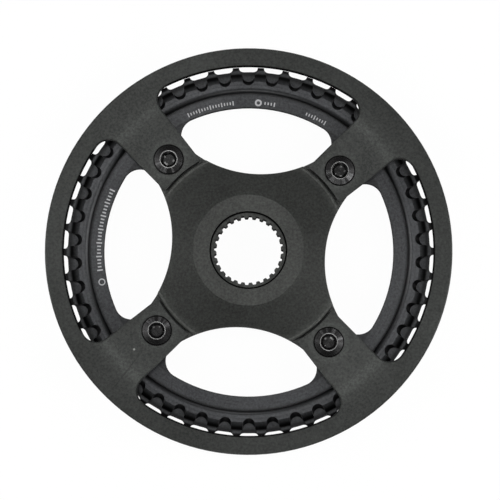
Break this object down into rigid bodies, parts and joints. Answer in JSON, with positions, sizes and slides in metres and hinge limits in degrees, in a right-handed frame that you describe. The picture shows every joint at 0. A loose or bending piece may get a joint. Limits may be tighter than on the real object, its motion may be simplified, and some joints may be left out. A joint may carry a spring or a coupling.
{
  "type": "belt drive sprocket",
  "caption": "Toothed belt drive sprocket bolted to a splined four-arm spider, with a sheet guard ring over the tooth tips.",
  "frame": {"origin": "on the sprocket's axis, at the rear face of the teeth, on which the part lies", "axes": "+Z along the axis towards the guard and the bolt heads, which face outwards on the bicycle; the spider's arms lie at 45 degrees between +X and +Y; a tooth gap is centred on +X and a tooth on +Y"},
  "size_m": [0.1742, 0.1742, 0.017],
  "materials": {
    "spider_black": "satin black anodised, finely blasted",
    "sprocket_black": "satin black anodised over turned faces",
    "guard_black": "matte black anodised sheet",
    "bolt_black": "gloss black oxide over turned steel"
  },
  "bodies": {
    "root": {"spider": "spider_black", "belt_sprocket": "sprocket_black", "guard_ring": "guard_black", "chainring_bolt_1": "bolt_black", "chainring_bolt_2": "bolt_black", "chainring_bolt_3": "bolt_black", "chainring_bolt_4": "bolt_black", "chainring_nut_1": "bolt_black", "chainring_nut_2": "bolt_black", "chainring_nut_3": "bolt_black", "chainring_nut_4": "bolt_black"}
  },
  "joints": []
}
